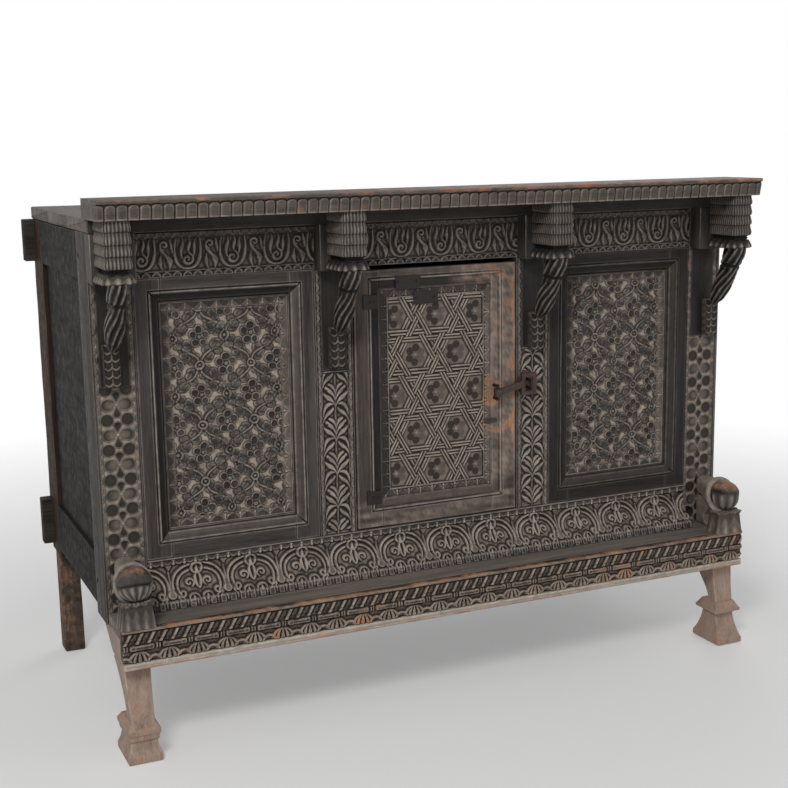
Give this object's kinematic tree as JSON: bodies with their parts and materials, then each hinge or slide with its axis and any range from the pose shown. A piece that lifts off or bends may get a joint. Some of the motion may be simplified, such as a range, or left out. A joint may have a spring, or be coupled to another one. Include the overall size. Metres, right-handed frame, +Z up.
{
  "type": "carved dowry chest",
  "caption": "Carved dark wood dowry chest on legs, with bracketed cornice, fixed carved panels, a hinged central door and an iron hasp.",
  "frame": {"origin": "middle of the floor under the whole chest", "axes": "+X to the right of the front, front faces -Y, +Z up"},
  "size_m": [1.394, 0.67, 1],
  "materials": {
    "carved_dark_wood": "old black-brown stained teak, worn grey on raised edges, dust in the carving",
    "plain_dark_wood": "old stained boards, matt, with red-brown streaks",
    "worn_top_wood": "weathered grey-brown boards",
    "cornice_wood": "worn grey-brown with bare orange edges",
    "door_wood": "handled wood, bare orange-brown beside the hasp",
    "pale_wood": "raw pale wood",
    "limed_strip": "pale limed strip with tan lower edge",
    "forged_iron": "hand-forged, dark, lightly rusted",
    "rusted_plate": "rust-brown sheet iron"
  },
  "bodies": {
    "carcass": {"apron_backing_strip": "limed_strip", "apron_front": "carved_dark_wood", "back_boards": "plain_dark_wood", "back_rail_lower": "plain_dark_wood", "back_rail_upper": "plain_dark_wood", "capital_inner_left": "carved_dark_wood", "capital_inner_right": "carved_dark_wood", "capital_outer_left": "carved_dark_wood", "capital_outer_right": "carved_dark_wood", "corner_scroll_left": "carved_dark_wood", "corner_scroll_right": "carved_dark_wood", "cornice_left": "cornice_wood", "cornice_right": "cornice_wood", "floor_boards": "plain_dark_wood", "frame_pegs": "plain_dark_wood", "front_leg_left": "pale_wood", "front_leg_right": "pale_wood", "front_post_left": "carved_dark_wood", "front_post_right": "carved_dark_wood", "head_rail": "carved_dark_wood", "ledge_board": "carved_dark_wood", "lower_rail": "carved_dark_wood", "mullion_left": "carved_dark_wood", "mullion_right": "carved_dark_wood", "mullion_staple": "forged_iron", "pendant_inner_left": "carved_dark_wood", "pendant_inner_right": "carved_dark_wood", "pendant_outer_left": "carved_dark_wood", "pendant_outer_right": "carved_dark_wood", "rear_post_left": "plain_dark_wood", "rear_post_right": "plain_dark_wood", "rosette_plate": "rusted_plate", "side_panel_left": "plain_dark_wood", "side_panel_right": "plain_dark_wood", "side_rail_lower_left": "plain_dark_wood", "side_rail_lower_right": "plain_dark_wood", "side_rail_upper_left": "plain_dark_wood", "side_rail_upper_right": "plain_dark_wood", "top_board_1": "worn_top_wood", "top_board_2": "worn_top_wood", "top_board_3": "worn_top_wood", "window_panel_left": "carved_dark_wood", "window_panel_right": "carved_dark_wood", "window_rails_left": "carved_dark_wood", "window_rails_right": "carved_dark_wood", "window_stiles_left": "carved_dark_wood", "window_stiles_right": "carved_dark_wood"},
    "door": {"door_corner_straps": "forged_iron", "door_mending_plates": "forged_iron", "door_panel": "door_wood", "door_pivots": "door_wood", "door_rail_lower": "door_wood", "door_rail_upper": "door_wood", "door_rivets": "forged_iron", "door_staple": "forged_iron", "door_stile_hinge": "door_wood", "door_stile_lock": "door_wood"},
    "hasp": {"hasp_arm": "forged_iron"}
  },
  "joints": [
    {"name": "door_hinge", "type": "hinge", "parent": "carcass", "child": "door", "pos_m": [-0.16, -0.19, 0.3375], "axis": [0, 0, -1], "range_deg": [0, 90]},
    {"name": "hasp_pivot", "type": "hinge", "parent": "door", "child": "hasp", "pos_m": [0.127, -0.22, 0.588], "axis": [0, 0, -1], "range_deg": [0, 150]}
  ]
}
